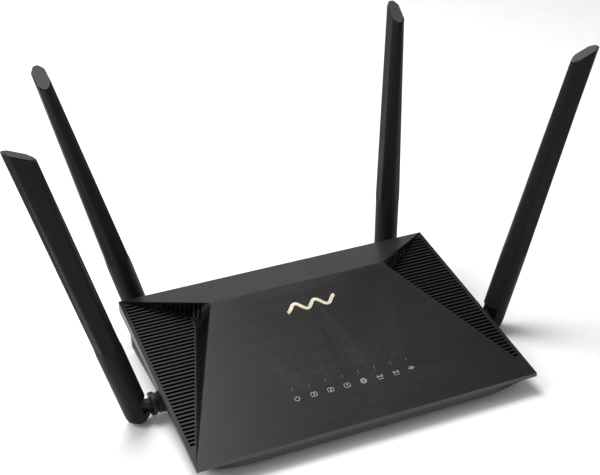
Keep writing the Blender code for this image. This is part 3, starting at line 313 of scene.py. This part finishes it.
def ribbon(bm, points, width, closed=False):
    """Flat strip of constant width along points in XY."""
    points = [Vector(point) for point in points]
    count = len(points)
    pairs = []
    for i, point in enumerate(points):
        before = points[i - 1] if closed or i > 0 else None
        after = points[(i + 1) % count] if closed or i < count - 1 else None
        ways = []
        if before is not None:
            ways.append((point - before).normalized())
        if after is not None:
            ways.append((after - point).normalized())
        along = sum(ways, Vector((0, 0))).normalized()
        across = Vector((-along.y, along.x))
        spread = width / 2 / max(0.5, across.dot(Vector((-ways[0].y, ways[0].x))))
        sides = (point + across * spread, point - across * spread)
        pairs.append([bm.verts.new((side.x, side.y, 0)) for side in sides])
    last = count if closed else count - 1
    for i in range(last):
        (a, b), (c, d) = pairs[i], pairs[(i + 1) % count]
        bm.faces.new((a, b, d, c))


def arc(center, radius, start, end, count):
    """Points of an arc in XY, angles in degrees."""
    steps = [radians(start + (end - start) * i / (count - 1)) for i in range(count)]
    return [(center[0] + radius * cos(step), center[1] + radius * sin(step)) for step in steps]


def disc(bm, center, radius, sides=16):
    bm.faces.new([bm.verts.new((*point, 0)) for point in arc(center, radius, 0, 360 - 360 / sides, sides)])


def thicken(bm, height):
    """Give flat shapes a thickness upwards."""
    grown = bmesh.ops.extrude_face_region(bm, geom=bm.faces[:])
    raised = [item for item in grown["geom"] if isinstance(item, bmesh.types.BMVert)]
    bmesh.ops.translate(bm, verts=raised, vec=(0, 0, height))


# ---------------------------------------------------------------- printed symbols, drawn in millimetres
def draw_power(bm, w):
    ribbon(bm, arc((0, 0), 1.5, 125, 415, 22), w)
    ribbon(bm, [(0, 0.5), (0, 2.1)], w)


def draw_frame(bm, w):
    """Rounded square around a digit."""
    corners = [(1, 1, 0), (-1, 1, 90), (-1, -1, 180), (1, -1, 270)]
    ring = [point for x, y, turn in corners for point in arc((x * 1.0, y * 0.7), 0.8, turn, turn + 90, 5)]
    ribbon(bm, ring, w * 0.85, closed=True)


def draw_one(bm, w):
    draw_frame(bm, w)
    ribbon(bm, [(-0.3, 0.45), (0.1, 0.8), (0.1, -0.85)], w)


def draw_two(bm, w):
    draw_frame(bm, w)
    ribbon(bm, arc((0, 0.36), 0.46, 160, -30, 8) + [(-0.5, -0.8), (0.58, -0.8)], w)


def draw_three(bm, w):
    draw_frame(bm, w)
    ribbon(bm, arc((0, 0.42), 0.4, 150, -80, 8), w)
    ribbon(bm, arc((0, -0.4), 0.43, 80, -150, 8), w)


def draw_globe(bm, w):
    ribbon(bm, arc((0, 0), 1.75, 0, 345, 24), w, closed=True)
    meridian = [(0.75 * cos(a), 1.65 * sin(a)) for a in [2 * pi * i / 20 for i in range(20)]]
    ribbon(bm, meridian, w * 0.8, closed=True)
    ribbon(bm, [(-1.7, 0), (1.7, 0)], w * 0.8)


def draw_waves(bm, w):
    disc(bm, (0, 0), 0.34)
    for side in (0, 180):
        ribbon(bm, arc((0, 0), 0.95, side - 42, side + 42, 8), w * 0.85)
        ribbon(bm, arc((0, 0), 1.7, side - 42, side + 42, 10), w * 0.85)


def draw_waves_one(bm, w):
    draw_waves(bm, w)
    ribbon(bm, [(-1.5, -2.0), (1.5, -2.0)], w)


def draw_waves_two(bm, w):
    draw_waves(bm, w)
    ribbon(bm, [(-1.5, -2.0), (-0.3, -2.0)], w)
    ribbon(bm, [(0.3, -2.0), (1.5, -2.0)], w)


def draw_plug(bm, w):
    """Plug lying on its side, with two prongs and a lead."""
    ribbon(bm, [(0.3, 0.85), (-0.9, 0.85), (-1.4, 0), (-0.9, -0.85), (0.3, -0.85)], w, closed=True)
    ribbon(bm, [(0.4, 0.4), (1.5, 0.4)], w)
    ribbon(bm, [(0.4, -0.4), (1.5, -0.4)], w)
    ribbon(bm, [(-1.4, 0), (-2.5, 0)], w)


def draw_loop(bm, w):
    ribbon(bm, arc((0, 0), 1.8, 200, 360, 12), w)
    ribbon(bm, arc((0, 0), 1.8, 20, 180, 12), w)
    disc(bm, (1.8, 0.2), 0.55)
    disc(bm, (-1.8, -0.2), 0.55)


PRINT_HEIGHT = 0.06


def printed_mark(name, draw, place, size, width):
    """One printed symbol as a thin raised layer."""
    bm = bmesh.new()
    draw(bm, width)
    thicken(bm, PRINT_HEIGHT)
    bmesh.ops.scale(bm, verts=bm.verts, vec=(size * MM, size * MM, MM))
    add_piece(name, bm, "print_grey", ROOT, place)


# the sloping front panel runs from its front edge up to the ridge, (y, z) in millimetres
PANEL_EDGE = (-75.0, 8.5)
PANEL_RIDGE = (35.2, 42.1)
FRONT_SLOPE = (PANEL_RIDGE[1] - PANEL_EDGE[1]) / (PANEL_RIDGE[0] - PANEL_EDGE[0])


def panel_place(x, y):
    """Matrix onto the sloping front panel, x and y in millimetres in plan."""
    spot = Vector((x, y, PANEL_EDGE[1] + (y - PANEL_EDGE[0]) * FRONT_SLOPE)) * MM
    return Matrix.Translation(spot) @ Matrix.Rotation(atan(FRONT_SLOPE), 4, "X")


def rear_place(x, z):
    """Matrix onto the rear wall, which lies 0.2 mm behind the sockets' faces, read from behind."""
    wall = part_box("wan_jack")[1][1] - 0.2 * MM
    turn = Matrix(((-1, 0, 0), (0, 0, 1), (0, 1, 0))).to_4x4()
    return Matrix.Translation((x * MM, wall, z * MM)) @ turn


STATUS_MARKS = [("power", draw_power), ("three", draw_three), ("two", draw_two), ("one", draw_one),
                ("globe", draw_globe), ("waves_1", draw_waves_one), ("waves_2", draw_waves_two),
                ("plug", draw_plug)]
STATUS_PITCH = 10.6
STATUS_Y = -48.3
REAR_MARK_Z = 24.1


def status_marks():
    for i, (name, draw) in enumerate(STATUS_MARKS):
        printed_mark("status_" + name, draw, panel_place((i - 3.5) * STATUS_PITCH, STATUS_Y), 1.0, 0.3)


def node_middle_x(node):
    low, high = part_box(node)
    return (low[0] + high[0]) / 2 / MM


def rear_marks():
    for node, draw in (("lan_jack_1", draw_one), ("lan_jack_2", draw_two), ("lan_jack_3", draw_three),
                       ("wan_jack", draw_globe), ("usb_jack", draw_plug), ("power_button", draw_power),
                       ("wps_button", draw_loop)):
        printed_mark("rear_" + node, draw, rear_place(node_middle_x(node), REAR_MARK_Z), 0.75, 0.4)


# ---------------------------------------------------------------- socket contacts
CONTACT_PITCH = 1.02 * MM


def contact_wire(bm, x, low, high):
    """One springy contact: a bent strip that comes forward and down inside the socket."""
    width, thick = 0.42 * MM, 0.16 * MM
    face, top = high[1], low[2] + 11.5 * MM
    path = [(face - 2.0 * MM, top), (face - 6.0 * MM, top - 0.5 * MM), (face - 10.5 * MM, top - 3.4 * MM),
            (face - 12.6 * MM, top - 3.2 * MM), (face - 13.9 * MM, top - 0.6 * MM)]
    rows = []
    for y, z in path:
        rows.append([bm.verts.new((x + dx, y, z + dz)) for dx, dz in
                     ((-width / 2, 0), (width / 2, 0), (width / 2, -thick), (-width / 2, -thick))])
    for near, far in zip(rows, rows[1:]):
        for i in range(4):
            j = (i + 1) % 4
            bm.faces.new((near[i], near[j], far[j], far[i]))
    bm.faces.new(rows[0])
    bm.faces.new(rows[-1])


def socket_contacts():
    for node in ("wan_jack", "lan_jack_1", "lan_jack_2", "lan_jack_3"):
        low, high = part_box(node)
        bm = bmesh.new()
        for i in range(8):
            contact_wire(bm, node_middle_x(node) * MM + (i - 3.5) * CONTACT_PITCH, low, high)
        add_piece("contacts_" + node, bm, "contact_gold", ROOT)


# ---------------------------------------------------------------- floor, light, camera
def make_floor():
    bm = bmesh.new()
    bmesh.ops.create_grid(bm, x_segments=1, y_segments=1, size=6.0)
    mesh = bpy.data.meshes.new("floor")
    bm.to_mesh(mesh)
    bm.free()
    mesh.materials.append(FINISHES["floor"])
    floor = bpy.data.objects.new("floor", mesh)
    floor.location = (0, 0, cad_box[0][2] - 0.1 * MM)
    bpy.context.scene.collection.objects.link(floor)


def softbox(name, spot, aim, size, power):
    """Rectangular area light at a spot, turned towards its aim."""
    data = bpy.data.lights.new(name, "AREA")
    data.shape = "RECTANGLE"
    data.size, data.size_y = size
    data.energy = power
    lamp = bpy.data.objects.new(name, data)
    lamp.location = spot
    lamp.rotation_euler = (Vector(aim) - Vector(spot)).to_track_quat("-Z", "Y").to_euler()
    bpy.context.scene.collection.objects.link(lamp)


def make_light():
    world = bpy.data.worlds.new("studio")
    world.use_nodes = True
    background = world.node_tree.nodes["Background"]
    background.inputs["Color"].default_value = (1.0, 1.0, 1.0, 1.0)
    background.inputs["Strength"].default_value = 0.35
    bpy.context.scene.world = world
    softbox("key_left", (-0.2, 0.46, 1.3), (-0.05, 0, 0), (0.6, 0.6), 16)
    softbox("side_left", (-1.0, 0.2, 0.9), (0, 0, 0), (0.9, 0.9), 9)
    softbox("fill_front", (-1.3, -1.3, 0.9), (0, 0, 0), (1.0, 1.0), 5)
    softbox("rim_rear", (-0.5, 1.5, 0.9), (0, 0, 0.05), (1.2, 0.6), 5)


# the camera looks at a target from a distance; angles in radians, lengths in metres
CAMERA_TURN = (-0.38295, 0.48152, -0.03567)
CAMERA_TARGET = (0.03538, 0.12093, 0.02567)
CAMERA_DISTANCE = 0.84854
CAMERA_LENS = 71.734
CAMERA_SHIFT = (0.00267, -0.0008)


def make_camera():
    azimuth, elevation, roll = CAMERA_TURN
    target = Vector(CAMERA_TARGET)
    back = Vector((sin(azimuth) * cos(elevation), -cos(azimuth) * cos(elevation), sin(elevation)))
    right = (-back).cross(Vector((0, 0, 1))).normalized()
    up = right.cross(-back)
    turned_right = right * cos(roll) + up * sin(roll)
    turned_up = up * cos(roll) - right * sin(roll)
    spot = target + back * CAMERA_DISTANCE
    rows = [[turned_right[i], turned_up[i], back[i], spot[i]] for i in range(3)] + [[0, 0, 0, 1]]
    data = bpy.data.cameras.new("photo_view")
    data.sensor_width = 36.0
    data.lens = CAMERA_LENS
    data.shift_x, data.shift_y = CAMERA_SHIFT
    data.clip_start = 0.01
    camera = bpy.data.objects.new("photo_view", data)
    camera.matrix_world = Matrix(rows)
    bpy.context.scene.collection.objects.link(camera)
    bpy.context.scene.camera = camera


def main():
    dress_frame()
    status_marks()
    rear_marks()
    socket_contacts()
    make_floor()
    make_light()
    make_camera()
    scene = bpy.context.scene
    scene.view_settings.view_transform = "Standard"


main()
